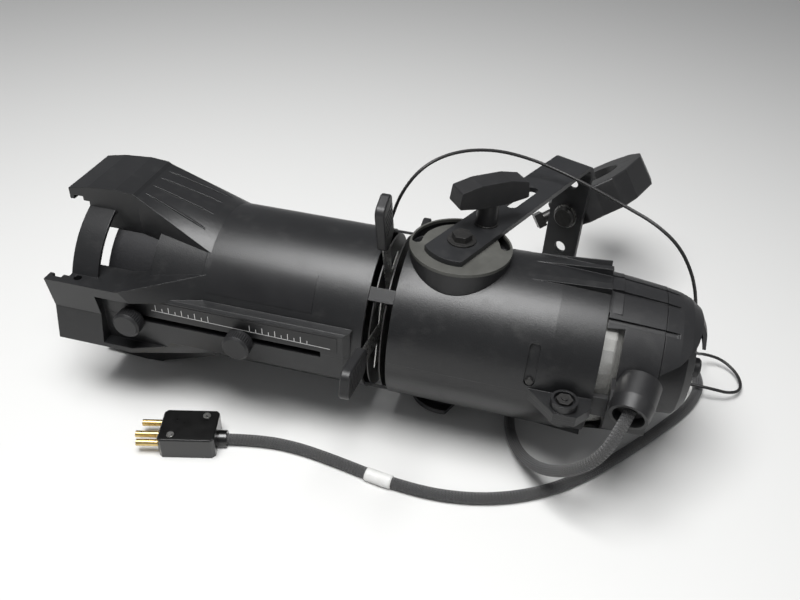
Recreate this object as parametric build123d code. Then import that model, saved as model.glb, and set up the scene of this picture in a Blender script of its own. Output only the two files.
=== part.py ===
"""Junior-size zoom ellipsoidal spotlight, lying on its side as it is stored, with its C-clamp and leads.

The model is drawn about the point where the yoke's pivot axis (Z) crosses the optical axis (X, front
at -X).  place() then moves every piece so that the row's origin is at the middle of the footprint, on
the surface that the spotlight lies on.
"""
from build123d import *
from math import atan2, cos, degrees, pi, radians, sin, sqrt, tan
import os

os.makedirs("parts", exist_ok=True)

# ---- driving dimensions, in millimetres ----
REST_Z = 98.0                   # height of the optical axis over the surface
ORIGIN_X = -65.65               # middle of the footprint, from the pivot axis
ORIGIN_Y = 82.4

BARREL_R = 74.0                 # outside of the lens tube and of the reflector housing
WALL = 3.0
TUBE_FRONT = -349.5             # front edge of the gel-frame holder
TUBE_BARREL = -214.0            # front edge of the round barrel, where the four fins run out on it
NECK_FRONT = -262.0             # front edge of the neck that closes the tube between the fins
TUBE_REAR = -66.0
GUIDE_R = 66.6                  # bore of the fins, in which the front carriage rides
FIN_HALF = 33.0                 # half width of a holder fin
FIN_CREST = -283.0              # where a fin's flat crown ends and its slope begins
FIN_END = -211.0
FIN_END_HALF = 45.0             # half width of the slope where it meets the barrel
FIN_H = 98.0                    # the fin's highest line, off the axis
FIN_CREST_H = 94.5              # the crown's rear edge, off the axis
FIN_LIP_H = 92.0                # its front edge, off the axis
CLIP_HOLE = (-322.5, -82.0)     # blind hole for the frame clip's screw, in the near fin's upper edge
GEL_HALF = 81.5                 # half of the space for a 158.75 mm (6.25 in) gel frame
GEL_SLOT = 9.0                  # depth of the gel-frame slot, along the axis
RING_FRONT = -331.0             # the holder's ring behind the gel frame
RING_REAR = -306.0
RING_R = 84.0

RAIL_Y = 80.0                   # outside face of the focus rail
RAIL_HALF = 25.0
RAIL_FRONT = -304.0
RAIL_REAR = -75.0
SLOT_HALF = 3.2                 # half height of the focus slot, on the seam
SLOT_FRONT = -283.0
SLOT_REAR = -100.0
FRONT_KNOB_X = -275.0
REAR_KNOB_X = -172.0
KNOB_R = 12.5

GATE_REAR = -44.0               # front edge of the reflector housing
HOUSING_REAR = 129.0
HOOD_GROOVES = (-34, -14, 6, 31)
NUT_RECESS_R = 8.6              # round recess of an ear, over its flush nut
RIB_ANGLES = (-30, -10, 10)      # from the top, towards the rear of the yoke side
APERTURE_R = 29.0
BLADE_X = (-58.5, -56.5, -54.5, -52.5)
BLADE_T = 0.8
SHUTTERS = (                    # side, turn from the top towards -Y, how far it is pulled out
    ("top", 18.0, 20.0),
    ("near", 76.0, 30.0),
    ("bottom", 240.0, 0.0),
    ("far", 279.0, 0.0),
)
BLADE_HALF = 33.0
NECK_HALF = 10.0
HANDLE_R0 = 76.0                # a handle's inner end, with its shutter pushed in
HANDLE_R1 = 126.0
HANDLE_HALF = 12.5
HANDLE_T = 8.0
GRIP_GROOVES = 5
GATE_BRIDGES = (44.0, 133.0, 205.0, 262.0, 328.0)

DISC_R = 44.0                   # tilt friction disc
DISC_TOP = 82.5
DISC_T = 3.0
BOSS_R = 43.5
ARM_T = 5.0
ARM_W = 38.0
YOKE_ANGLE = 66.0               # of the yoke from +X, towards +Y
YOKE_REACH = 212.0              # pivot axis to the bridge's outside face
YOKE_BEND = 16.0
YOKE_HOLES = (-59.25, -19.75, 19.75, 59.25)
YOKE_HOLE_R = 6.5
CLAMP_Z = 19.75                 # the hole that the clamp hangs on
LOCK_R = 38.0                   # tilt-lock stud, from the pivot axis
STUD_R = 3.9
LOCK_SLOT_HALF = 4.3
CLAMP_TURN = -38.0              # of the clamp about its yoke bolt
PIPE_R = 27.0                   # the clamp's round jaw, for a pipe of 50 mm
PIPE_AT = (67.0, -4.0)          # its middle, from the clamp's back face and the yoke bolt's line
CLAMP_T = 34.0

LAMP_FRONT = 144.0              # lamp housing's front edge, beside the air gap
LAMP_SEAM = 176.0
LAMP_REAR = 216.0
CAP_SLOTS = 12                  # cooling slots in the lamp cap's rear face
GROOVE_HALF = 2.2               # half width of the lamp housing's long grooves
CORD_D = 10.0
CABLE_D = 3.2
FERRULE_R = 3.0                 # pressed sleeve at each end of the safety cable
FERRULE_LENGTH = 14.0
EYE_R = 9.0                     # eye beyond it, to the middle of the wire

KNURL_COUNT = 36


# ---- helpers ----
def place(shape):
    """Move a piece from the pivot frame to the row frame."""
    return Pos(-ORIGIN_X, -ORIGIN_Y, REST_Z) * shape


written = {}


def save(name, *solids):
    """Write one node as parts/NAME.step."""
    shape = solids[0] if len(solids) == 1 else Compound(children=list(solids))
    shape = place(shape)
    shape.label = name
    export_step(shape, f"parts/{name}.step")
    written[name] = shape


def block(x0, x1, y0, y1, z0, z1):
    """A box given by its limits."""
    middle = Pos((x0 + x1) / 2, (y0 + y1) / 2, (z0 + z1) / 2)
    return middle * Box(x1 - x0, y1 - y0, z1 - z0)


def rod_x(radius, x0, x1, y=0.0, z=0.0):
    return Pos((x0 + x1) / 2, y, z) * Cylinder(radius, x1 - x0, rotation=(0, 90, 0))


def rod_y(radius, y0, y1, x=0.0, z=0.0):
    return Pos(x, (y0 + y1) / 2, z) * Cylinder(radius, y1 - y0, rotation=(90, 0, 0))


def rod_z(radius, z0, z1, x=0.0, y=0.0):
    return Pos(x, y, (z0 + z1) / 2) * Cylinder(radius, z1 - z0)


def ring_x(outer, inner, x0, x1):
    return rod_x(outer, x0, x1) - rod_x(inner, x0 - 1, x1 + 1)


def turned(points):
    """A solid of revolution about the optical axis, from (x, radius) points."""
    outline = make_face(Polyline([(x, 0, r) for x, r in points], close=True))
    return revolve(outline, Axis.X, 360)


def hexagon(across_flats, z0, z1):
    """A hexagonal prism on the Z axis."""
    flat = RegularPolygon(across_flats / 2, 6, major_radius=False)
    return Pos(0, 0, z0) * extrude(flat, z1 - z0)


def upper(shape):
    """The half of a casting above the seam."""
    return shape & block(-400, 300, -200, 200, 0, 200)


def lower(shape):
    return shape & block(-400, 300, -200, 200, -200, 0)


def quarter(shape, turns):
    """Turn a piece about the optical axis by quarter turns."""
    return Rot(90 * turns, 0, 0) * shape


# ---- lens tube: two castings that meet on the seam ----
def fin_slope():
    """The slope of a fin: flat across at the crown, round as the barrel at its end."""
    corner = sqrt((BARREL_R + 0.05) ** 2 - FIN_END_HALF ** 2)
    low = 45.0
    crown = Polyline(
        [(FIN_CREST, -FIN_HALF, low), (FIN_CREST, -FIN_HALF, FIN_CREST_H), (FIN_CREST, FIN_HALF, FIN_CREST_H),
         (FIN_CREST, FIN_HALF, low)], close=True
    )
    foot = Polyline(
        [(FIN_END, FIN_END_HALF, corner), (FIN_END, FIN_END_HALF, low), (FIN_END, -FIN_END_HALF, low),
         (FIN_END, -FIN_END_HALF, corner)]
    )
    top = ThreePointArc((FIN_END, -FIN_END_HALF, corner), (FIN_END, 0, BARREL_R + 0.05), (FIN_END, FIN_END_HALF, corner))
    return loft([make_face(crown), make_face(foot + top)], ruled=True)


def fin():
    """One of the four fins round the gel frame, pointing up."""
    outline = [
        (TUBE_FRONT, 70.0), (TUBE_FRONT, FIN_LIP_H), (-330.0, FIN_H - 2.0), (-303.0, FIN_H),
        (FIN_CREST - 3.0, FIN_H - 1.5), (FIN_CREST, FIN_CREST_H), (FIN_CREST, 40.0), (-345.0, 40.0),
    ]
    face = make_face(Polyline([(x, 0, z) for x, z in outline], close=True))
    body = extrude(face, FIN_HALF, both=True) + fin_slope()
    frame_space = block(TUBE_FRONT + 4.0, TUBE_FRONT + 4.0 + GEL_SLOT, -GEL_HALF, GEL_HALF, 0, GEL_HALF + 4)
    front_space = block(TUBE_FRONT - 1, RING_FRONT, -GEL_HALF, GEL_HALF, 0, GEL_HALF)
    return body - frame_space - front_space


def tube_casting():
    """The whole lens tube, before it is split."""
    barrel = ring_x(BARREL_R, BARREL_R - WALL, TUBE_BARREL, TUBE_REAR)
    neck = ring_x(BARREL_R - 0.6, GUIDE_R, NECK_FRONT, TUBE_BARREL + 6)
    solid = barrel + neck
    for turns in range(4):
        solid += quarter(fin(), turns)
    side_v = Plane.YZ * make_face(
        Polyline([(-120, 34), (-92, 34), (-86, 0), (-92, -34), (-120, -34)], close=True)
    )
    dish = extrude(side_v, 70, both=True)
    solid -= Pos(TUBE_FRONT + 20, 0, 0) * dish
    solid -= Pos(TUBE_FRONT + 20, 0, 0) * mirror(dish, Plane.XZ)
    solid += ring_x(RING_R, RING_R - 3.0, RING_FRONT, RING_REAR)
    rail = block(RAIL_FRONT, RAIL_REAR, -RAIL_Y, -60, -RAIL_HALF, RAIL_HALF)
    rail = chamfer(rail.edges().filter_by(Axis.X).group_by(Axis.Y)[0], 2.0)
    rail = chamfer(rail.edges().filter_by(Axis.Z).group_by(Axis.X)[-1].group_by(Axis.Y)[0], 5.0)
    recess = block(RAIL_FRONT, -225, -110, -RAIL_Y, -RAIL_HALF - 4, RAIL_HALF - 3)
    bore = rod_x(GUIDE_R, -360, TUBE_BARREL + 1) + rod_x(BARREL_R - WALL, TUBE_BARREL, TUBE_REAR + 1)
    slot = block(SLOT_FRONT, SLOT_REAR, -100, -60, -SLOT_HALF, SLOT_HALF)
    solid = solid - recess + rail - bore - slot
    clip_hole = rod_z(3.6, FIN_HALF - 7, FIN_HALF + 4, x=CLIP_HOLE[0], y=CLIP_HOLE[1])
    return solid - clip_hole


def save_lens_tube():
    tube = tube_casting()
    save("lens_tube_upper", upper(tube))
    save("lens_tube_lower", lower(tube))
    plate = ring_x(BARREL_R + 0.5, BARREL_R, -208, -112)
    window = Rot(-39, 0, 0) * block(-210, -110, -100, -60, -17, 17)
    save("label_plate", plate & window)
    scale = block(-262, RAIL_REAR - 10, -RAIL_Y - 0.5, -RAIL_Y, SLOT_HALF + 2, RAIL_HALF - 4)
    save("focus_scale_plate", scale)


# ---- lenses and their carriages ----
def lens(radius, centre_x, edge, bulge):
    """A plano-convex lens: flat at the front, convex to the rear."""
    sphere_r = (radius * radius + bulge * bulge) / (2 * bulge)
    rim = rod_x(radius, centre_x - edge / 2, centre_x + edge / 2 + bulge)
    ball = Pos(centre_x + edge / 2 + bulge - sphere_r, 0, 0) * Sphere(sphere_r)
    return rim & ball


def knob(centre_x, stud_end):
    """A knurled thumb screw that locks a carriage, along Y."""
    head = rod_y(KNOB_R, -96.0, -84.0, x=centre_x)
    head = chamfer(head.edges().group_by(Axis.Y)[0], 2.0)
    for step in range(KNURL_COUNT):
        angle = radians(360 / KNURL_COUNT * step)
        groove_x = centre_x + (KNOB_R + 0.35) * cos(angle)
        head -= rod_y(0.75, -94.0, -86.5, x=groove_x, z=(KNOB_R + 0.35) * sin(angle))
    collar = rod_y(7.0, -84.0, -RAIL_Y - 0.6, x=centre_x)
    stud = rod_y(2.94, -RAIL_Y - 0.7, stud_end, x=centre_x)
    return head + collar + stud


def save_carriages():
    body = turned(
        [(-307, 60), (-307, 66.2), (-266, 66.2), (-258, 60), (-244, 60), (-244, 56.5), (-262, 56.5), (-268, 60)]
    )
    seat = ring_x(60.5, 54, -286.5, -283)
    boss = rod_y(7.5, -70.0, -57.0, x=FRONT_KNOB_X)
    guide = rod_x(66.2, -290, -250)
    carriage = body + seat + (boss & guide)
    save("front_lens_carriage", carriage - rod_y(3.0, -90, -60.0, x=FRONT_KNOB_X))
    save("front_lens", lens(59.0, -292.0, 6.0, 13.0))
    save("front_lens_ring", ring_x(60.0, 54.0, -304.0, -300.0) + ring_x(60.0, 58.9, -300.0, -295.0))
    x = REAR_KNOB_X
    body = ring_x(70.6, 62.0, x - 12, x + 12) + ring_x(62.5, 56.0, x + 5.2, x + 12)
    save("rear_lens_carriage", body - rod_y(3.0, -90, -64.0, x=x))
    save("rear_lens", lens(61.9, x - 1.0, 8.0, 10.0))
    save("rear_lens_ring", ring_x(61.9, 56.0, x - 11, x - 5.2))
    save("front_focus_knob", knob(FRONT_KNOB_X, -60.5))
    save("rear_focus_knob", knob(REAR_KNOB_X, -64.5))


# ---- gate and shutters ----
def shutter_parts(x, turn, pulled):
    """A blade and its handle that pull out along +Z, turned to their side of the gate."""
    half = BLADE_T / 2
    face = HANDLE_T / 2
    blade = block(x - half, x + half, -BLADE_HALF, BLADE_HALF, 2, 26)
    blade += block(x - half, x + half, -NECK_HALF, NECK_HALF, 25, HANDLE_R0 + 14)
    grip = block(x - face, x + face, -HANDLE_HALF, HANDLE_HALF, HANDLE_R0, HANDLE_R1)
    grip = fillet(grip.edges().filter_by(Axis.X), 7.0)
    grip = chamfer(grip.faces().sort_by(Axis.X)[-1].edges(), 1.0)
    grip = chamfer(grip.faces().sort_by(Axis.X)[0].edges(), 1.0)
    for step in range(GRIP_GROOVES):
        z = HANDLE_R0 + 18 + 5 * step
        grip -= block(x + face - 0.8, x + face + 1, -9, 9, z, z + 2.2)
        grip -= block(x - face - 1, x - face + 0.8, -9, 9, z, z + 2.2)
    grip -= block(x - half, x + half, -NECK_HALF, NECK_HALF, 60, HANDLE_R0 + 14)
    motion = Rot(turn, 0, 0) * Pos(0, 0, pulled)
    return motion * blade, motion * grip


def save_gate():
    opening = rod_x(APERTURE_R, -70, -40)
    save("gate_front_plate", rod_x(70.6, -61.4, -60.2) - opening)
    save("gate_rear_plate", rod_x(70.6, -50.8, -49.6) - opening)
    for x, (side, turn, pulled) in zip(BLADE_X, SHUTTERS):
        blade, grip = shutter_parts(x, turn, pulled)
        save(f"shutter_blade_{side}", blade)
        save(f"shutter_handle_{side}", grip)


# ---- reflector housing: two castings ----
def housing_casting():
    """The whole reflector housing, before it is split."""
    solid = turned(
        [
            (GATE_REAR, BARREL_R), (90, BARREL_R + 0.6), (HOUSING_REAR, BARREL_R - 1.4),
            (HOUSING_REAR, 66.0), (GATE_REAR, 66.0),
        ]
    )
    bar = block(TUBE_REAR, GATE_REAR + 6, -6, 6, 68.0, BARREL_R - 0.8)
    for angle in GATE_BRIDGES:
        solid += Rot(angle, 0, 0) * bar
    rib_outline = [(58, 0, 71), (58, 0, 74), (HOUSING_REAR, 0, 79), (HOUSING_REAR, 0, 71)]
    rib = extrude(make_face(Polyline(rib_outline, close=True)), 3.6, both=True)
    for angle in RIB_ANGLES:
        solid += Rot(angle, 0, 0) * rib
        solid += Rot(angle + 180, 0, 0) * rib
    for side in (-1, 1):
        ear = Polyline(
            [(76, 66 * side), (76, 74 * side), (100, 98 * side), (118, 98 * side), (129, 84 * side),
             (129, 66 * side)], close=True
        )
        solid += Pos(0, 0, -5) * extrude(make_face(ear), 10)
        solid += rod_z(11, -9, 12, x=107, y=86 * side) - rod_z(NUT_RECESS_R, 8.5, 13, x=107, y=86 * side)
    pill = Plane(origin=(77, -80, 25), x_dir=(0, 0, 1), z_dir=(0, -1, 0)) * SlotOverall(36, 9)
    pill = extrude(pill, 20, both=True) - rod_x(72.2, 50, 100)
    solid -= pill
    bore = rod_x(BARREL_R - WALL, -80, 90) + rod_x(BARREL_R - WALL - 1.5, 85, HOUSING_REAR + 1)
    return solid - bore


def save_housing():
    housing = housing_casting()
    save("reflector_housing_upper", upper(housing))
    save("reflector_housing_lower", lower(housing))
    nut = hexagon(12, 8.5, 12.2) + rod_z(2.6, 12.0, 13.4)
    save("housing_screws", *[Pos(107, 86 * side, 0) * nut for side in (-1, 1)])
    recess_floor = BARREL_R - 1.8
    screw = rod_y(3.2, -recess_floor - 1.6, -recess_floor + 3, x=77, z=11) - rod_x(recess_floor + 0.05, 60, 90)
    save("recess_screw", screw)


# ---- tilt pivot ----
def arc_slot(radius, half, start, end, z0, z1):
    """A slot that follows an arc about the pivot axis, between two angles in degrees."""
    ring = Circle(radius + half) - Circle(radius - half)
    reach = 90
    points = [(0, 0)]
    steps = 6
    for step in range(steps + 1):
        angle = radians(start + (end - start) * step / steps)
        points.append((reach * cos(angle), reach * sin(angle)))
    wedge = make_face(Polyline(points, close=True))
    shape = ring & wedge
    for angle in (start, end):
        shape += Pos(radius * cos(radians(angle)), radius * sin(radians(angle))) * Circle(half)
    return Pos(0, 0, z0) * extrude(shape, z1 - z0)


def save_pivots():
    skin = rod_x(BARREL_R + 0.65, -80, 80)
    disc_bottom = DISC_TOP - DISC_T
    boss = rod_z(BOSS_R, 40, disc_bottom) - skin
    boss -= arc_slot(LOCK_R - 2.0, 7.2, 10, 185, disc_bottom - 8.0, disc_bottom + 1)
    boss -= rod_z(5.0, 60, 90)
    save("pivot_boss_upper", boss)
    disc = rod_z(DISC_R, disc_bottom, DISC_TOP) - rod_z(6.0, 70, 90)
    save("friction_disc", disc - arc_slot(LOCK_R, LOCK_SLOT_HALF, 12, 184, 70, 90))
    low = rod_z(25, -DISC_TOP, -50) - skin - rod_z(5.0, -90, -50) - rod_z(6.0, -90, -DISC_TOP + 3.2)
    save("pivot_boss_lower", low)
    top = DISC_TOP + ARM_T
    washer = rod_z(12.4, top, top + 1.6) - rod_z(5.95, 60, 100)
    shank = rod_z(4.9, BARREL_R + 0.7, top + 2)
    collar = rod_z(5.85, DISC_TOP - 2.9, top)
    head = hexagon(15, top + 1.6, top + 7.0)
    head = head & (Pos(0, 0, top - 4) * Cone(14, 6, 20, align=(Align.CENTER, Align.CENTER, Align.MIN)))
    bolt_upper = shank + collar + head
    low_collar = rod_z(5.85, -top, -DISC_TOP + 3)
    low_shank = rod_z(4.9, -top, -BARREL_R - 0.7)
    low_head = mirror(hexagon(15, top + 1.6, REST_Z), Plane.XY)
    save("pivot_bolt_upper", bolt_upper)
    save("pivot_bolt_lower", low_collar + low_shank + rod_z(5.0, -top - 1.7, -top) + low_head)
    save("pivot_washer_upper", washer)
    save("pivot_washer_lower", mirror(washer, Plane.XY))


# ---- yoke, tilt lock and clamp: drawn with the arm along +X, then turned to the yoke's angle ----
def swing(shape):
    return Rot(0, 0, YOKE_ANGLE) * shape


def save_yoke():
    outer = ARM_T + DISC_TOP
    half = ARM_W / 2
    u_shape = block(-33, YOKE_REACH, -half, half, -outer, outer)
    u_shape = fillet(u_shape.edges().filter_by(Axis.Y).group_by(Axis.X)[-1], YOKE_BEND)
    inside = block(-60, YOKE_REACH - ARM_T, -half - 1, half + 1, -DISC_TOP, DISC_TOP)
    inside = fillet(inside.edges().filter_by(Axis.Y).group_by(Axis.X)[-1], YOKE_BEND - ARM_T)
    bar = u_shape - inside
    round_end = rod_z(33, -100, 100) + block(0, 300, -60, 60, -100, 100)
    bar = bar & round_end
    bar -= rod_z(5.9, -100, 100)
    bar -= rod_z(STUD_R + 0.35, 0, 100, x=LOCK_R)
    slot = Pos(99, 0, 60) * extrude(SlotOverall(48, 11), 60)
    bar -= slot
    for z in YOKE_HOLES:
        bar -= rod_x(YOKE_HOLE_R, 190, 230, z=z)
    save("yoke", swing(bar))


def save_tilt_lock():
    top = DISC_TOP + ARM_T
    grip_turn = -28.0
    washer = rod_z(10.5, top, top + 1.4, x=LOCK_R) - rod_z(STUD_R + 0.2, 60, 100, x=LOCK_R)
    save("tilt_lock_washer", swing(washer))
    stem = rod_z(9.5, top + 1.4, 112, x=LOCK_R)
    grip_side = Polyline(
        [(-34, 0, 112), (-32, 0, 127), (-14, 0, 131), (14, 0, 131), (32, 0, 127), (34, 0, 112), (14, 0, 109),
         (-14, 0, 109)], close=True
    )
    grip = extrude(make_face(grip_side), 9.5, both=True)
    grip = fillet(grip.edges().filter_by(Axis.Y), 2.0)
    grip = Pos(LOCK_R, 0, 0) * Rot(0, 0, grip_turn) * grip
    stud = rod_z(STUD_R, DISC_TOP - DISC_T - 6.0, top + 2, x=LOCK_R)
    save("tilt_lock_handle", swing(stem + grip + stud))
    under = DISC_TOP - DISC_T
    nut = block(LOCK_R - 5.6, LOCK_R + 3.0, -8, 8, under - 5.0, under - 0.3)
    nut -= rod_z(STUD_R + 0.05, 50, 100, x=LOCK_R)
    nut = nut & (rod_z(42.0, 50, 100) - rod_z(30.0, 40, 110))
    save("tilt_lock_nut", swing(nut))


def save_clamp():
    """A cast C-clamp for a 50 mm pipe, its jaw open to the side."""
    back = YOKE_REACH + 2.2
    outside = [
        (0, -20), (12, -32), (24, -50), (45, -56), (88, -53), (112, -41), (125, -22), (128, 4), (120, 26),
        (104, 40), (90, 36), (92, 18), (88, -4), (84, -16), (67, -25), (50, -16), (46, -4), (38.7, 10.1),
        (52.9, 24.3), (36.2, 44.4), (18.6, 26.8), (6, 24), (0, 20),
    ]
    outside = make_face(Polyline([(back + x, y) for x, y in outside], close=True))
    body = Pos(0, 0, -CLAMP_T / 2) * extrude(outside, CLAMP_T)
    body = fillet(body.edges().filter_by(Axis.Z), 3.0)
    for end in (0, -1):
        body = fillet(body.edges().group_by(Axis.Z)[end], 2.0)
    body -= rod_x(6.1, back - 5, back + 20)
    body -= rod_z(PIPE_R, -CLAMP_T, CLAMP_T, x=back + PIPE_AT[0], y=PIPE_AT[1])
    bolt_line = Location((back + PIPE_AT[0], PIPE_AT[1], 0), (0, 0, -45))
    body -= bolt_line * rod_x(6.02, -90, -20)
    turn = Pos(0, 0, CLAMP_Z) * Rot(CLAMP_TURN, 0, 0)
    save("clamp_body", swing(turn * body))
    shank = rod_x(5.98, -71, -32.5)
    head = block(-80, -71, -8, 8, -8, 8)
    tip = rod_x(4.2, -33, -28.5)
    save("clamp_pipe_bolt", swing(turn * (bolt_line * (shank + head + tip))))
    inner = YOKE_REACH - ARM_T
    bolt = rod_x(6.0, inner - 2, back + 16)
    head = rod_x(11.5, inner - 6.8, inner - 1.8)
    head = chamfer(head.edges().group_by(Axis.X)[0], 2.0)
    save("clamp_yoke_bolt", swing(turn * (bolt + head)))
    flat = ring_x(13.0, 6.2, inner - 1.8, inner)
    spring = ring_x(11.5, 6.2, YOKE_REACH, back)
    save("clamp_washers", swing(turn * flat), swing(turn * spring))


# ---- reflector, lamp and lamp housing ----
def save_reflector():
    curve = [(100, 69.4), (112, 68.6), (126, 66.6), (140, 62.6), (153, 56.0), (165, 46.0), (174, 33.0), (178, 20.0)]
    inner = [(x - 0.6, r - 2.4) for x, r in reversed(curve)]
    save("reflector", turned(curve + inner))
    save("reflector_ring", ring_x(69.3, 62.0, 96.5, 99.4))


LAMP_PROFILE = (
    (130, 70.2), (154, 67.6), (LAMP_SEAM, 65.0), (190, 62.3), (199, 58.9), (208, 52.5), (213, 43), (LAMP_REAR, 28)
)


def save_lamp_housing():
    front = list(LAMP_PROFILE[:3]) + [(LAMP_SEAM, 62.0), (154, 64.8), (130, 67.2)]
    solid = turned(front) - block(120, LAMP_FRONT, -90, 90, -52, 56)
    for turns in (0, 2):
        strap = block(HOUSING_REAR, 140, -30, 30, 40, 90) & ring_x(70.0, 67.4, HOUSING_REAR, 140)
        solid += quarter(strap, turns)
    for side in (-1, 1):
        lug = block(HOUSING_REAR, 150, 66 * side - 6, 66 * side + 6, -12, 8)
        solid += lug - rod_x(67.4, 100, 200)
    gland_block = block(141, 174, -82, -50, -20, 22)
    gland_block = chamfer(gland_block.edges().filter_by(Axis.X).group_by(Axis.Y)[0], 6.0)
    solid += gland_block - rod_x(65.0, 100, 158) - rod_x(63.0, 150, 200)
    outline = [(128, 0, 67.6), (128, 0, 75), (LAMP_SEAM, 0, 70), (LAMP_SEAM, 0, 63.4)]
    groove = extrude(make_face(Polyline(outline, close=True)), GROOVE_HALF, both=True)
    for angle in HOOD_GROOVES:
        solid -= Rot(angle, 0, 0) * groove
    save("lamp_housing", solid)
    front_x = LAMP_SEAM + 0.4
    inner = [(LAMP_REAR - 3, 28), (210, 41), (205, 50), (197, 55.6), (189, 59), (front_x, 61.8)]
    hood = turned([(front_x, 65.0)] + list(LAMP_PROFILE[3:]) + inner)
    below = [(160, 0, 26), (LAMP_SEAM, 0, 30), (192, 0, 38), (204, 0, 47), (212, 0, 60), (240, 0, 60),
             (240, 0, -90), (160, 0, -90)]
    open_side = extrude(make_face(Polyline(below, close=True)), 120, dir=(0, -1, 0))
    hood -= Pos(0, -8, 0) * open_side
    hood -= block(170, 240, -90, 90, -90, -26)
    for angle in HOOD_GROOVES:
        groove = make_face(Polyline([(170, 0, 63.2), (170, 0, 75), (206, 0, 75), (186, 0, 61.6)], close=True))
        hood -= Rot(angle, 0, 0) * extrude(groove, GROOVE_HALF, both=True)
    save("rear_hood", hood)


def save_lamp():
    cap = turned([(179.5, 19), (179.5, 45), (200, 43.5), (207, 36), (209, 0), (196, 0), (196, 19)])
    slot = block(201, 212, 20, 37, -1.6, 1.6)
    for step in range(CAP_SLOTS):
        cap -= Rot(360 / CAP_SLOTS * step, 0, 0) * slot
    save("lamp_cap", cap)
    save("lamp_socket", rod_x(18.6, 180, 196) - rod_x(9.2, 170, 186))
    save("lamp_base", rod_x(9.0, 168, 186) + ring_x(13.5, 8.5, 170, 172) + ring_x(13.5, 8.5, 174.5, 176.5))
    glass = rod_x(8.0, 120, 168) + (Pos(120, 0, 0) * Sphere(8.0))
    save("lamp_glass", glass)
    knob_x = 209.2
    head = rod_x(9.0, knob_x, knob_x + 9)
    head = chamfer(head.edges().group_by(Axis.X)[-1], 1.5)
    save("lamp_cap_knob", head)


# ---- gland, cord, plug ----
GLAND_SEAT = Vector(159, -82, 16)
GLAND_AXIS = Vector(-0.20, -0.93, -0.25).normalized()
GLAND_H = 12.0                  # how far the gland stands out of its block
GLAND_FLOOR = 4.0               # height of the recess floor that the cord leaves

CORD_ROUTE = [
    (158.2, -85.8, 15), (151, -104, 0), (139, -114, -22), (120, -109, -46), (98, -90, -70), (78, -58, -88),
    (64, -16, -93), (70, 26, -93), (92, 66, -93), (120, 104, -93), (149, 133, -93), (180, 148, -93),
    (214, 145, -93), (240, 123, -93), (249, 90, -93), (236, 54, -93), (212, 20, -93), (186, -14, -93),
    (153, -53, -93), (116, -88, -93), (72, -112, -93), (26, -123, -93), (-22, -122, -93), (-68, -113, -93),
    (-114, -106, -93), (-152, -108, -93), (-186, -117, -93),
]
CABLE_ROUTE = [
    (-180, 147, -95), (-158, 149, -94), (-138, 142, -86), (-124, 129, -64), (-112, 112, -32), (-96, 94, 4),
    (-82, 80, 42), (-72, 72, 80), (-54, 82, 108), (-28, 106, 116), (6, 126, 114), (42, 134, 106),
    (76, 128, 99), (106, 110, 97), (134, 88, 96), (160, 72, 93), (184, 62, 80), (203, 58, 52),
    (215, 62, 14), (222, 76, -22), (231, 94, -50), (240, 113, -72), (252, 130, -83), (272, 133, -88),
    (288, 118, -92), (290, 96, -93), (276, 80, -88), (256, 76, -83), (236, 78, -84), (216, 84, -90),
    (198, 92, -95),
]


def corner_radii(points, least):
    """The largest arc that each corner's two runs leave room for."""
    vectors = [Vector(*p) for p in points]
    radii = []
    for before, here, after in zip(vectors, vectors[1:], vectors[2:]):
        run_in = here - before
        run_out = after - here
        half_turn = radians(run_in.get_angle(run_out)) / 2
        shorter = min(run_in.length, run_out.length)
        radii.append(0.45 * shorter / tan(half_turn))
    print("radii", min(round(r, 1) for r in radii), "least allowed", least)
    return radii


def tube_along(points, diameter, least):
    """A round tube of straight runs joined by tangent arcs."""
    radii = corner_radii(points, least)
    path = FilletPolyline(points, radius=radii)
    section = Plane(origin=path @ 0, z_dir=path % 0) * Circle(diameter / 2)
    tube = sweep(section, path=path)
    expected = pi * diameter * diameter / 4 * path.length
    print("length", round(path.length, 1), "volume ratio", round(tube.volume / expected, 4))
    return tube


def along(axis_from, axis_dir, radius, start, end, end_radius=None):
    """A cylinder or cone on a slanting axis."""
    plane = Plane(origin=axis_from + axis_dir * start, z_dir=axis_dir)
    height = end - start
    if end_radius is None:
        return plane * Cylinder(radius, height, align=(Align.CENTER, Align.CENTER, Align.MIN))
    return plane * Cone(radius, end_radius, height, align=(Align.CENTER, Align.CENTER, Align.MIN))


def save_gland():
    ring = along(GLAND_SEAT, GLAND_AXIS, 17.5, -22, 0) + along(GLAND_SEAT, GLAND_AXIS, 17.5, 0, GLAND_H, 15.5)
    ring -= along(GLAND_SEAT, GLAND_AXIS, 11.0, GLAND_FLOOR, GLAND_H + 1, 13.0)
    ring -= rod_x(68.9, 100, 200)
    ring -= block(HOUSING_REAR, 150, -72, -60, -12, 8)
    save("cable_gland", ring - block(141, 174, -82, -50, -20, 22))


def cable_end(name, route):
    """A pressed ferrule with its eye, on the floor at the first point of a route."""
    end = Vector(*route[0])
    run = end - Vector(*route[1])
    outward = Vector(run.X, run.Y, 0).normalized()
    eye = Pos(*(end + outward * (FERRULE_LENGTH + EYE_R - 0.5))) * Torus(EYE_R, CABLE_D / 2)
    save(f"cable_eye_{name}", eye)
    ferrule = along(end, outward, FERRULE_R, 0, FERRULE_LENGTH)
    save(f"cable_ferrule_{name}", ferrule - eye)


def save_leads():
    save("power_cord", tube_along(CORD_ROUTE, CORD_D, 3 * CORD_D))
    save("safety_cable", tube_along(CABLE_ROUTE, CABLE_D, 5 * CABLE_D))
    cable_end("start", CABLE_ROUTE)
    cable_end("far", CABLE_ROUTE[::-1])


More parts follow.
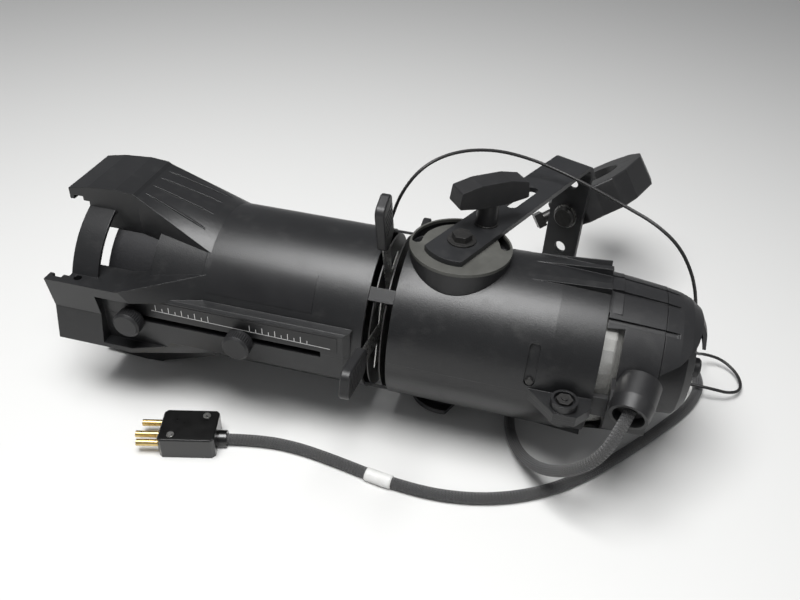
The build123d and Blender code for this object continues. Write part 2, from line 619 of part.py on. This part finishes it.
def save_plug():
    """A flat rectangular three-pin stage plug at the cord's end."""
    end = Vector(*CORD_ROUTE[-1])
    before = Vector(*CORD_ROUTE[-2])
    run = (end - before).normalized()
    turn = degrees(atan2(run.Y, run.X))
    to_plug = Location((end.X, end.Y, end.Z), (0, 0, turn))
    body = block(0, 50, -19, 19, -5, 17)
    body = chamfer(body.edges().filter_by(Axis.Z), 3.0)
    body = chamfer(body.edges().group_by(Axis.Z)[-1], 1.0)
    body += (rod_x(8.0, -8, 1) & block(-9, 2, -9, 9, -5, 9)) - rod_x(5.05, -9, 0)
    screw_at = [(11, -12), (39, 12)]
    for x, y in screw_at:
        body -= rod_z(3.6, 15.5, 18, x=x, y=y)
    save("plug_body", to_plug * body)
    pins = [rod_x(3.1, 50, 70 + 3 * (y == 2), y=y, z=6) for y in (-12, 2, 12)]
    save("plug_pins", *[to_plug * pin for pin in pins])
    screws = [rod_z(3.4, 15.5, 17.4, x=x, y=y) for x, y in screw_at]
    save("plug_screws", *[to_plug * screw for screw in screws])


save_lens_tube()
save_carriages()
save_gate()
save_housing()
save_pivots()
save_yoke()
save_tilt_lock()
save_clamp()
save_reflector()
save_lamp_housing()
save_lamp()
save_gland()
save_leads()
save_plug()

free = ("power_cord", "safety_cable", "cable_", "plug_")
boxes = [shape.bounding_box() for name, shape in written.items() if not name.startswith(free)]
low = [min(getattr(b.min, axis) for b in boxes) for axis in "XYZ"]
high = [max(getattr(b.max, axis) for b in boxes) for axis in "XYZ"]
print("object box", [round(v, 2) for v in low], [round(v, 2) for v in high])
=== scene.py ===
"""Looks of a zoom ellipsoidal spotlight that lies on its side, with its clamp, lead and safety cable."""
import math

import bpy
from mathutils import Matrix, Vector


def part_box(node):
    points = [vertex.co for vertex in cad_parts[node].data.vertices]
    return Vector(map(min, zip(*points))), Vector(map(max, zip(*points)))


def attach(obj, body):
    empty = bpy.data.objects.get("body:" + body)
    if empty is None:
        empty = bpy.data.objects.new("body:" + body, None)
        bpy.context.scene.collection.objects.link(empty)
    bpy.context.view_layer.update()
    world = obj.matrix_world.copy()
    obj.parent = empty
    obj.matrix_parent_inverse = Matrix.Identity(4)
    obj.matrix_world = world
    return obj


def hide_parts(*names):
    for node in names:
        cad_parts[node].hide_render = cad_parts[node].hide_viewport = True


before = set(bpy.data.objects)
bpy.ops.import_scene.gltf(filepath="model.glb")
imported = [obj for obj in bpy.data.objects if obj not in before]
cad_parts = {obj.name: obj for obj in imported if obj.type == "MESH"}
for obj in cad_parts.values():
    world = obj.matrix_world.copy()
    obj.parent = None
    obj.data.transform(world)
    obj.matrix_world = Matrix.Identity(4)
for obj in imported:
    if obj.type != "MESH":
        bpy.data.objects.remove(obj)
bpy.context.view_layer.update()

# ---- camera ----
# A phone held above and in front of the spotlight, turned a little to the left and leaning over.
EYE = Vector((0.13671, -0.63925, 0.54131))
YAW = math.radians(-12.3)
PITCH = math.radians(37.1)
ROLL = math.radians(3.3)

ahead = Vector((math.sin(YAW) * math.cos(PITCH), math.cos(YAW) * math.cos(PITCH), -math.sin(PITCH)))
level = Vector((math.cos(YAW), -math.sin(YAW), 0.0))
upright = level.cross(ahead)
right = level * math.cos(ROLL) + upright * math.sin(ROLL)
up = upright * math.cos(ROLL) - level * math.sin(ROLL)
camera_data = bpy.data.cameras.new("camera")
camera_data.sensor_width = 36.0
camera_data.lens = 35.11
camera_data.clip_start = 0.01
camera = bpy.data.objects.new("camera", camera_data)
bpy.context.scene.collection.objects.link(camera)
turn = Matrix((right, up, -ahead)).transposed()
camera.matrix_world = Matrix.Translation(EYE) @ turn.to_4x4()
bpy.context.scene.camera = camera

# ---- power cord ----
# Three silicone leads in one limp sleeve of black braided fibreglass, 10 mm across.  It leaves the
# gland on the lamp housing, turns once on the floor behind the housing and ends in a stage plug.
CORD_D = 0.010
PIVOT = Vector((0.06565, -0.08240, 0.098))     # where the yoke's axis crosses the optical axis
CORD_ROUTE = [
    (158.2, -85.8, 15), (151, -104, 0), (139, -114, -22), (120, -109, -46), (98, -90, -70), (78, -58, -88),
    (64, -16, -93), (70, 26, -93), (92, 66, -93), (120, 104, -93), (149, 133, -93), (180, 148, -93),
    (214, 145, -93), (240, 123, -93), (249, 90, -93), (236, 54, -93), (212, 20, -93), (186, -14, -93),
    (153, -53, -93), (116, -88, -93), (72, -112, -93), (26, -123, -93), (-22, -122, -93), (-68, -113, -93),
    (-114, -106, -93), (-152, -108, -93), (-186, -117, -93),
]


class Finish:
    """A material whose shader is fed by expressions on sockets."""

    def __init__(self, name, fixed):
        self.material = bpy.data.materials.new(name)
        self.material.use_nodes = True
        self.tree = self.material.node_tree
        self.shader = self.tree.nodes["Principled BSDF"]
        for socket, value in fixed.items():
            self.shader.inputs[socket].default_value = value

    def node(self, kind, settings=None, inputs=None, output=0):
        """Any node, from its type, its settings and its sockets' values or links."""
        made = self.tree.nodes.new(kind)
        for name, value in (settings or {}).items():
            setattr(made, name, value)
        for key, value in (inputs or {}).items():
            if isinstance(value, Socket):
                self.tree.links.new(value.output, made.inputs[key])
            else:
                made.inputs[key].default_value = value
        return Socket(self, made.outputs[output])

    def where(self):
        """The place on the piece, in metres in the row frame."""
        return self.node("ShaderNodeTexCoord", output=3)

    def noise(self, scale, detail=2.0, rough=0.5):
        settings = {"Vector": self.where(), "Scale": scale, "Detail": detail, "Roughness": rough}
        return self.node("ShaderNodeTexNoise", {}, settings)

    def spread(self, value, low, high):
        """Stretch low..high to 0..1, and cut off what is outside."""
        inputs = {"Value": value, "From Min": low, "From Max": high}
        return self.node("ShaderNodeMapRange", {"clamp": True}, inputs)

    def mix(self, mask, first, second):
        """The colour first where the mask is 0, and second where it is 1."""
        inputs = {0: mask, 6: first, 7: second}
        return self.node("ShaderNodeMix", {"data_type": "RGBA"}, inputs, output=2)

    def feed(self, socket, value):
        self.tree.links.new(value.output, self.shader.inputs[socket])

    def relief(self, height, distance, strength=1.0, corner=0.0):
        """Bump from a height, over corners that are rounded off by a radius in metres."""
        inputs = {"Height": height, "Distance": distance, "Strength": strength}
        if corner:
            inputs["Normal"] = self.node("ShaderNodeBevel", {"samples": 4}, {"Radius": corner})
        self.feed("Normal", self.node("ShaderNodeBump", {}, inputs))

    def on(self, *names):
        """Put the material on pieces, by name."""
        for name in names:
            piece = bpy.data.objects[name]
            piece.data.materials.clear()
            piece.data.materials.append(self.material)


class Socket:
    """A node's output that takes part in sums."""

    def __init__(self, finish, output):
        self.finish = finish
        self.output = output

    def sum(self, operation, first, second=0.0):
        return self.finish.node("ShaderNodeMath", {"operation": operation}, {0: first, 1: second})

    def __add__(self, other):
        return self.sum("ADD", self, other)

    __radd__ = __add__

    def __sub__(self, other):
        return self.sum("SUBTRACT", self, other)

    def __rsub__(self, other):
        return self.sum("SUBTRACT", other, self)

    def __mul__(self, other):
        return self.sum("MULTIPLY", self, other)

    __rmul__ = __mul__

    def __gt__(self, other):
        return self.sum("GREATER_THAN", self, other)

    def __abs__(self):
        return self.sum("ABSOLUTE", self)

    def sine(self):
        return self.sum("SINE", self)

    def part(self, axis):
        """One of the three numbers of a vector."""
        return self.finish.node("ShaderNodeSeparateXYZ", {}, {0: self}, output="XYZ".index(axis))


def spline_line(route, step):
    """Evenly spaced points on the smooth line that a route given in millimetres controls."""
    data = bpy.data.curves.new("line", "CURVE")
    data.dimensions = "3D"
    data.resolution_u = 24
    spline = data.splines.new("NURBS")
    spline.points.add(len(route) - 1)
    for point, place in zip(spline.points, route):
        point.co = (*(PIVOT + Vector(place) / 1000), 1.0)
    spline.order_u = 3
    spline.use_endpoint_u = True
    holder = bpy.data.objects.new("line", data)
    bpy.context.scene.collection.objects.link(holder)
    bpy.context.view_layer.update()
    mesh = bpy.data.meshes.new_from_object(holder.evaluated_get(bpy.context.evaluated_depsgraph_get()))
    dense = [v.co.copy() for v in mesh.vertices]
    bpy.data.objects.remove(holder)
    reach = [0.0]
    for before, here in zip(dense, dense[1:]):
        reach.append(reach[-1] + (here - before).length)
    count = int(reach[-1] / step)
    points = []
    at = 0
    for i in range(count + 1):
        want = reach[-1] * i / count
        while at < len(reach) - 2 and reach[at + 1] < want:
            at += 1
        share = (want - reach[at]) / (reach[at + 1] - reach[at])
        points.append(dense[at].lerp(dense[at + 1], share))
    return points, reach[-1]


def new_piece(name, verts, faces, smooth=True):
    mesh = bpy.data.meshes.new(name)
    mesh.from_pydata([tuple(v) for v in verts], [], faces)
    mesh.polygons.foreach_set("use_smooth", [smooth] * len(mesh.polygons))
    mesh.update()
    piece = bpy.data.objects.new(name, mesh)
    bpy.context.scene.collection.objects.link(piece)
    return piece


def sweep(name, line, sides, radius_at):
    """A closed tube along a line.  radius_at(angle, metres along) gives its outline."""
    forward = (line[1] - line[0]).normalized()
    side = forward.orthogonal().normalized()
    verts = []
    along = 0.0
    marks = []
    for i, centre in enumerate(line):
        if i:
            along += (centre - line[i - 1]).length
        ahead_at = line[min(i + 1, len(line) - 1)]
        heading = (ahead_at - line[max(i - 1, 0)]).normalized()
        side = (side - heading * side.dot(heading)).normalized()
        other = heading.cross(side)
        for j in range(sides):
            angle = 2 * math.pi * j / sides
            out = side * math.cos(angle) + other * math.sin(angle)
            verts.append(centre + out * radius_at(angle, along))
        marks.append(along)
    faces = []
    spots = []
    for i in range(len(line) - 1):
        for j in range(sides):
            k = (j + 1) % sides
            faces.append((i * sides + j, i * sides + k, (i + 1) * sides + k, (i + 1) * sides + j))
            low, high = j / sides, (j + 1) / sides
            spots += [(low, marks[i]), (high, marks[i]), (high, marks[i + 1]), (low, marks[i + 1])]
    last = (len(line) - 1) * sides
    faces.append(tuple(reversed(range(sides))))
    faces.append(tuple(range(last, last + sides)))
    spots += [(0.5, 0.0)] * sides + [(0.5, marks[-1])] * sides
    piece = new_piece(name, verts, faces)
    layer = piece.data.uv_layers.new(name="round_and_along")
    layer.data.foreach_set("uv", [number for spot in spots for number in spot])
    return piece


cord_line, cord_length = spline_line(CORD_ROUTE, 0.002)
cord = sweep("lead_sleeve", cord_line, 24, lambda angle, along: CORD_D / 2)

sleeve = Finish("braided_sleeve", {"Roughness": 0.62, "Specular IOR Level": 0.45, "Sheen Weight": 0.25})
BRAID_YARNS = 18
spot = sleeve.node("ShaderNodeTexCoord", output=2)
round_about = spot.part("X") * (BRAID_YARNS * math.pi)
lengthwise = spot.part("Y") * (BRAID_YARNS / CORD_D * 0.62)
one_way = (round_about + lengthwise).sine()
other_way = (round_about - lengthwise).sine()
over = one_way * other_way > 0.0
yarn = over * abs(one_way) + (1.0 - over) * abs(other_way)
worn = sleeve.spread(sleeve.noise(45.0, 3.0), 0.35, 0.75)
# Painted highlight and shade: the colour is lighter on the crown of each yarn, standing in for the sleeve's
# grey sheen, and nearly black in the hollows between yarns.
yarn_highlight_and_shade = sleeve.mix(yarn, (0.003, 0.003, 0.0035, 1), (0.055, 0.056, 0.058, 1))
sleeve.feed("Base Color", sleeve.mix(worn * 0.45, yarn_highlight_and_shade, (0.05, 0.047, 0.042, 1)))
sleeve.feed("Roughness", 0.72 - yarn * 0.2)
sleeve.relief(yarn, 0.0006)
sleeve.on("lead_sleeve")

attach(cord, "root")
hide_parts("power_cord")

# ---- tag on the cord ----
# A blank white paper label that is folded round the sleeve and stuck to itself.
TAG_AT = 0.880                  # metres from the gland
TAG_WIDE = 0.024
tag_from = min(range(len(cord_line)), key=lambda i: abs(i * 0.002 - TAG_AT))
tag_count = int(TAG_WIDE / 0.002)
tag_line = cord_line[tag_from:tag_from + tag_count + 1]
TAG_OUTLINE = 28


def tag_radius(angle, along):
    """The paper lies close on the sleeve, with a little slack on top."""
    return CORD_D / 2 + 0.0006 + 0.0004 * (1 + math.sin(angle + 40 * along))


tag = sweep("cord_tag", tag_line, TAG_OUTLINE, tag_radius)
paper = Finish("tag_paper", {"Roughness": 0.55, "Coat Weight": 0.15})
crease_height_and_shade = paper.noise(160.0, 3.0)
# Painted shade: the paper's colour is darker where the crease noise is low, in the hollows of the bumps, and
# lighter on their ridges.
paper.feed("Base Color", paper.mix(crease_height_and_shade, (0.62, 0.62, 0.6, 1), (0.8, 0.8, 0.79, 1)))
paper.relief(crease_height_and_shade, 0.0004)
paper.on("cord_tag")
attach(tag, "root")

# ---- safety cable ----
# Black coated steel rope of 3.2 mm, twisted from six strands.  It springs up in one high arc over the
# yoke, comes down behind the lamp housing and ends in a loop on the floor.
CABLE_D = 0.0032
CABLE_ROUTE = [
    (-180, 147, -95), (-158, 149, -94), (-138, 142, -86), (-124, 129, -64), (-112, 112, -32), (-96, 94, 4),
    (-82, 80, 42), (-72, 72, 80), (-54, 82, 108), (-28, 106, 116), (6, 126, 114), (42, 134, 106),
    (76, 128, 99), (106, 110, 97), (134, 88, 96), (160, 72, 93), (184, 62, 80), (203, 58, 52),
    (215, 62, 14), (222, 76, -22), (231, 94, -50), (240, 113, -72), (252, 130, -83), (272, 133, -88),
    (288, 118, -92), (290, 96, -93), (276, 80, -88), (256, 76, -83), (236, 78, -84), (216, 84, -90),
    (198, 92, -95),
]
STRANDS = 6
LAY_LENGTH = 0.022              # along the rope, for one turn of a strand


def strand_radius(angle, along):
    bulge = abs(math.cos(STRANDS / 2 * (angle - 2 * math.pi * along / LAY_LENGTH)))
    return CABLE_D / 2 * (0.80 + 0.20 * bulge)


cable_line, cable_length = spline_line(CABLE_ROUTE, 0.0011)
cable = sweep("safety_rope", cable_line, 36, strand_radius)
rope = Finish("black_rope", {"Roughness": 0.42, "Metallic": 0.2, "Specular IOR Level": 0.5})
rope.feed("Base Color", rope.mix(rope.noise(900.0), (0.006, 0.006, 0.006, 1), (0.035, 0.034, 0.034, 1)))
rope.on("safety_rope", "cable_eye_start", "cable_eye_far")
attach(cable, "root")
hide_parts("safety_cable")

# ---- powder-coated castings ----
# Lens tube, reflector housing and lamp housing are die-cast aluminium with a black satin powder coat
# that has a fine pebble texture and a little dust.


def powder_coat(name, dark, light, roughness, corner=0.0008):
    coat = Finish(name, {"Specular IOR Level": 0.5, "Coat Roughness": 0.3})
    pebble = coat.noise(1100.0, 2.0)
    cloud = coat.noise(14.0, 4.0, 0.6)
    dust = coat.spread(coat.noise(60.0, 6.0, 0.7), 0.52, 0.8)
    base = coat.mix(cloud, dark, light)
    coat.feed("Base Color", coat.mix(dust * 0.12, base, (0.09, 0.088, 0.083, 1)))
    coat.feed("Roughness", roughness + pebble * 0.12 + dust * 0.10)
    coat.relief(pebble, 0.00020, 0.45, corner)
    return coat


casting = powder_coat("powder_coat", (0.006, 0.0062, 0.0068, 1), (0.013, 0.0132, 0.014, 1), 0.29)
casting.on("lens_tube_upper", "lens_tube_lower", "reflector_housing_upper", "reflector_housing_lower")
hot_casting = powder_coat("lamp_coat", (0.008, 0.0082, 0.009, 1), (0.017, 0.017, 0.018, 1), 0.36)
hot_casting.on("lamp_housing", "rear_hood", "lamp_cap", "pivot_boss_upper", "pivot_boss_lower")

# ---- yoke and clamp ----
# The yoke is a bent flat bar with a thin satin paint and softly rounded corners.  The clamp is a
# rough iron casting under thick paint.
strap = powder_coat("yoke_paint", (0.010, 0.0105, 0.0115, 1), (0.018, 0.0185, 0.02, 1), 0.36, 0.0006)
strap.on("yoke")
iron = powder_coat("clamp_paint", (0.009, 0.009, 0.0095, 1), (0.017, 0.017, 0.0175, 1), 0.36, 0.0015)
iron.on("clamp_body")

# ---- black fittings ----
# Knobs, shutter handles and the tilt lock's grip are glass-filled plastic.  Screws and the two gate
# plates are steel with a black oxide finish.
plastic = powder_coat("moulded_plastic", (0.007, 0.007, 0.0075, 1), (0.014, 0.014, 0.015, 1), 0.38, 0.0006)
plastic.on("front_focus_knob", "rear_focus_knob", "tilt_lock_handle", "lamp_cap_knob", "cable_gland",
           "shutter_handle_top", "shutter_handle_near", "shutter_handle_bottom", "shutter_handle_far")
oxide = Finish("black_oxide", {"Metallic": 0.7})
oxide_grain = oxide.noise(500.0, 3.0)
oxide.feed("Base Color", oxide.mix(oxide_grain, (0.03, 0.03, 0.031, 1), (0.075, 0.073, 0.07, 1)))
oxide.feed("Roughness", 0.3 + oxide_grain * 0.2)
oxide.relief(oxide_grain, 0.0001, 0.6, 0.0005)
oxide.on("housing_screws", "recess_screw", "pivot_bolt_upper", "pivot_bolt_lower", "pivot_washer_upper",
         "pivot_washer_lower", "tilt_lock_washer", "clamp_pipe_bolt", "clamp_yoke_bolt", "gate_front_plate",
         "gate_rear_plate")
anodised = Finish("black_anodised", {"Metallic": 0.4})
anodised_grain = anodised.noise(700.0)
anodised.feed("Base Color", anodised.mix(anodised_grain, (0.01, 0.01, 0.011, 1), (0.022, 0.022, 0.024, 1)))
anodised.feed("Roughness", 0.4 + anodised_grain * 0.15)
anodised.relief(anodised_grain, 0.0001, 0.5, 0.0004)
anodised.on("front_lens_carriage", "rear_lens_carriage", "front_lens_ring", "rear_lens_ring")

# ---- bright steel ----
# Shutter blades, washers, ferrules and plug screws are stainless or plated steel.
steel = Finish("bright_steel", {"Metallic": 1.0})
steel_grain = steel.noise(320.0, 4.0)
steel.feed("Base Color", steel.mix(steel_grain, (0.5, 0.5, 0.48, 1), (0.75, 0.74, 0.72, 1)))
steel.feed("Roughness", 0.18 + steel_grain * 0.22)
steel.relief(steel_grain, 0.00008, 0.5, 0.0002)
steel.on("tilt_lock_nut", "clamp_washers", "reflector_ring", "cable_ferrule_start", "cable_ferrule_far",
         "plug_screws", "shutter_blade_top", "shutter_blade_near", "shutter_blade_bottom",
         "shutter_blade_far")

# ---- friction disc ----
# A turned disc of plain grey steel under the yoke's arm, with fine rings from the lathe.
disc = Finish("turned_steel", {"Metallic": 0.35, "Specular IOR Level": 0.4})
from_pivot = disc.node("ShaderNodeVectorMath", {"operation": "SUBTRACT"}, {0: disc.where(), 1: tuple(PIVOT)})
flat = disc.node("ShaderNodeVectorMath", {"operation": "MULTIPLY"}, {0: from_pivot, 1: (1, 1, 0)})
reach = disc.node("ShaderNodeVectorMath", {"operation": "LENGTH"}, {0: flat}, output=1)
rings = (reach * 9000.0).sine()
stain = disc.noise(50.0, 5.0, 0.65)
disc.feed("Base Color", disc.mix(stain, (0.055, 0.055, 0.05, 1), (0.13, 0.13, 0.12, 1)))
disc.feed("Roughness", 0.42 + stain * 0.2)
disc.relief(rings, 0.00002, 0.6, 0.0005)
disc.on("friction_disc")

# ---- lenses and lamp ----
glass = Finish("lens_glass", {"Transmission Weight": 1.0, "IOR": 1.5, "Roughness": 0.02,
                              "Base Color": (0.93, 0.97, 0.96, 1)})
glass.on("front_lens", "rear_lens", "lamp_glass")
ceramic = Finish("ceramic", {"Specular IOR Level": 0.5})
speckle = ceramic.noise(300.0, 3.0)
ceramic.feed("Base Color", ceramic.mix(speckle, (0.62, 0.58, 0.5, 1), (0.76, 0.73, 0.67, 1)))
ceramic.feed("Roughness", 0.3 + speckle * 0.2)
ceramic.on("lamp_socket")
lamp_metal = Finish("lamp_aluminium", {"Metallic": 1.0})
lamp_grain = lamp_metal.noise(400.0)
lamp_metal.feed("Base Color", lamp_metal.mix(lamp_grain, (0.5, 0.5, 0.5, 1), (0.72, 0.72, 0.72, 1)))
lamp_metal.feed("Roughness", 0.3 + lamp_grain * 0.15)
lamp_metal.on("lamp_base")

# ---- reflector ----
# A glass ellipsoid of flat facets with a bright coating, seen through the gap behind the housing.
FACETS = 42
REFLECTOR_PROFILE = [               # x and radius, from the pivot axis
    (100, 69.0), (113, 68.1), (127, 66.0), (140, 62.2), (153, 55.6), (165, 45.6), (175, 31.0), (178, 20.4),
]
REFLECTOR_THICK = 2.0


def facet_ring(x, radius):
    ring = []
    for i in range(FACETS):
        angle = 2 * math.pi * (i + 0.5) / FACETS
        place = Vector((x, radius * math.cos(angle), radius * math.sin(angle)))
        ring.append(PIVOT + place / 1000)
    return ring


outside = [facet_ring(x, r) for x, r in REFLECTOR_PROFILE]
inside = [facet_ring(x, r - REFLECTOR_THICK) for x, r in reversed(REFLECTOR_PROFILE)]
loops = outside + inside
facet_faces = []
for i in range(len(loops)):
    here = i * FACETS
    after = (i + 1) % len(loops) * FACETS
    for j in range(FACETS):
        k = (j + 1) % FACETS
        facet_faces.append((here + j, after + j, after + k, here + k))
mirror = new_piece("faceted_reflector", [v for loop in loops for v in loop], facet_faces, smooth=False)
silver = Finish("reflector_coating", {"Metallic": 0.85, "Specular IOR Level": 0.6})
haze = silver.noise(120.0, 4.0)
silver.feed("Base Color", silver.mix(haze, (0.72, 0.71, 0.66, 1), (0.95, 0.95, 0.92, 1)))
silver.feed("Roughness", 0.12 + haze * 0.2)
silver.on("faceted_reflector")
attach(mirror, "root")
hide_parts("reflector")

# ---- label plate and focus scale ----
# A dark glossy label with nothing on it, and a printed scale of white lines along the focus slot.
label = Finish("blank_label", {"Coat Weight": 0.4, "Coat Roughness": 0.12})
label_cloud = label.noise(40.0, 4.0)
label.feed("Base Color", label.mix(label_cloud, (0.004, 0.004, 0.0045, 1), (0.010, 0.010, 0.011, 1)))
label.feed("Roughness", 0.28 + label_cloud * 0.12)
label.on("label_plate")
scale_low, scale_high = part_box("focus_scale_plate")
SCALE_LINE = 0.0006
SCALE_LIFT = 0.00004
TICK_TALL = 0.007
TICK_GROUPS = ((0.010, 9, 0.0062), (0.098, 10, 0.0058))    # start, number of ticks, spacing


def quad(x0, x1, z0, z1, y, fall=0.0):
    """A thin printed bar, whose right end is lower by fall."""
    return [Vector((x0, y, z0)), Vector((x1, y, z0 - fall)), Vector((x1, y, z1 - fall)), Vector((x0, y, z1))]


print_y = scale_low.y - SCALE_LIFT
base_z = scale_low.z + 0.0060
SCALE_FALL = 0.0030             # of the long line, from end to end
long_from = scale_low.x + 0.006
long_to = scale_high.x - 0.006
marks = [quad(long_from, long_to, base_z, base_z + SCALE_LINE, print_y, SCALE_FALL)]
for start, count, spacing in TICK_GROUPS:
    for i in range(count):
        x = scale_low.x + start + spacing * i
        foot = base_z - SCALE_FALL * (x - long_from) / (long_to - long_from)
        tall = TICK_TALL if i % 2 == 0 else TICK_TALL * 0.6
        marks.append(quad(x, x + SCALE_LINE, foot, foot + tall, print_y))
scale_faces = [(4 * i, 4 * i + 1, 4 * i + 2, 4 * i + 3) for i in range(len(marks))]
scale_print = new_piece("scale_print", [v for m in marks for v in m], scale_faces, smooth=False)
ink = Finish("white_ink", {"Roughness": 0.5})
ink_wear = ink.noise(500.0, 3.0)
ink.feed("Base Color", ink.mix(ink_wear, (0.5, 0.5, 0.5, 1), (0.8, 0.8, 0.79, 1)))
ink.on("scale_print")
plate = powder_coat("scale_plate", (0.005, 0.005, 0.0055, 1), (0.009, 0.009, 0.0095, 1), 0.36, 0.0002)
plate.on("focus_scale_plate")
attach(scale_print, "root")

# ---- plug ----
# A glossy moulded block with two plated screws in its lid and three brass pins.
gloss = Finish("plug_plastic", {"Coat Weight": 0.5, "Coat Roughness": 0.08})
gloss_cloud = gloss.noise(90.0, 4.0)
gloss.feed("Base Color", gloss.mix(gloss_cloud, (0.002, 0.002, 0.002, 1), (0.006, 0.006, 0.006, 1)))
gloss.feed("Roughness", 0.22 + gloss_cloud * 0.16)
gloss.relief(gloss_cloud, 0.0001, 0.4, 0.001)
gloss.on("plug_body")
brass = Finish("brass", {"Metallic": 1.0})
brass_grain = brass.noise(300.0, 3.0)
brass.feed("Base Color", brass.mix(brass_grain, (0.5, 0.36, 0.14, 1), (0.78, 0.6, 0.28, 1)))
brass.feed("Roughness", 0.2 + brass_grain * 0.2)
brass.on("plug_pins")

# ---- roof ribs ----
# Four shallow ridges are cast into the slope of the upper and of the lower fin.  They fan out a little
# from the flat crown to the round barrel.
RIB_ACROSS = (-0.64, -0.22, 0.22, 0.64)        # share of the slope's half width
CREST = (-283.0, 33.0, 94.5)                   # x, half width and height of the slope's upper edge
FOOT = (-211.0, 45.0, 74.05)                   # x, half width and radius where it meets the barrel
RIB_FROM = 0.04
RIB_TO = 0.84
RIB_HALF = 1.5
RIB_CROWN = 0.6                 # share of its width that a ridge's flat top takes
RIB_HIGH = 1.0
RIB_SUNK = 0.8                  # how far its foot reaches into the slope
RIB_RUN = 6                     # a ridge rises over a sixth of its length, and runs out over another
RIB_STEPS = 12
foot_half_angle = math.asin(FOOT[1] / FOOT[2])
rib_verts = []
rib_faces = []
for side in (1, -1):
    for across in RIB_ACROSS:
        foot_angle = foot_half_angle * across
        top = Vector((CREST[0], CREST[1] * across, CREST[2]))
        bottom = Vector((FOOT[0], FOOT[2] * math.sin(foot_angle), FOOT[2] * math.cos(foot_angle)))
        first = len(rib_verts)
        for i in range(RIB_STEPS + 1):
            share = i / RIB_STEPS
            middle = top.lerp(bottom, RIB_FROM + (RIB_TO - RIB_FROM) * share)
            lift = RIB_HIGH * min(1.0, RIB_RUN * share, RIB_RUN * (1 - share))
            crown_half = RIB_HALF * RIB_CROWN
            section = ((-RIB_HALF, -RIB_SUNK), (-crown_half, lift), (crown_half, lift), (RIB_HALF, -RIB_SUNK))
            for offset, rise in section:
                corner = Vector((middle.x, middle.y + offset, side * (middle.z + rise)))
                rib_verts.append(PIVOT + corner / 1000)
        for i in range(RIB_STEPS):
            for j in range(4):
                k = (j + 1) % 4
                here, after = first + 4 * i, first + 4 * (i + 1)
                rib_faces.append((here + j, here + k, after + k, after + j))
        rib_faces.append((first, first + 1, first + 2, first + 3))
        rib_faces.append(tuple(first + 4 * RIB_STEPS + j for j in (3, 2, 1, 0)))
ribs = new_piece("roof_ribs", rib_verts, rib_faces, smooth=False)
casting.on("roof_ribs")
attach(ribs, "root")

# ---- floor, backdrop and studio light ----
FLOOR_SIZE = 6.0
floor_corners = [(FLOOR_SIZE * x, FLOOR_SIZE * y, 0) for x, y in ((-1, -1), (1, -1), (1, 1), (-1, 1))]
ground = new_piece("floor", floor_corners, [(0, 1, 2, 3)])
pale = Finish("pale_floor", {"Roughness": 0.7, "Base Color": (0.68, 0.68, 0.67, 1)})
pale.on("floor")


def softbox(name, place, target, size, power):
    data = bpy.data.lights.new(name, "AREA")
    data.shape = "RECTANGLE"
    data.size, data.size_y = size
    data.energy = power
    box = bpy.data.objects.new(name, data)
    box.location = place
    box.rotation_euler = (Vector(target) - Vector(place)).to_track_quat("-Z", "Y").to_euler()
    bpy.context.scene.collection.objects.link(box)


softbox("overhead", (-0.12, -0.36, 1.45), (0, -0.02, 0.05), (0.95, 0.80), 31)
softbox("left_fill", (-1.3, -0.9, 0.9), (0, 0, 0.1), (1.0, 1.0), 0.4)
softbox("right_fill", (1.4, -0.5, 1.0), (0, 0, 0.1), (1.0, 1.0), 1.0)
world = bpy.data.worlds.new("studio")
world.use_nodes = True
sky = world.node_tree.nodes["Background"]
sky.inputs["Color"].default_value = (0.96, 0.97, 1.0, 1)
sky.inputs["Strength"].default_value = 0.22
bpy.context.scene.world = world
bpy.context.scene.view_settings.view_transform = "Standard"

bpy.context.view_layer.update()
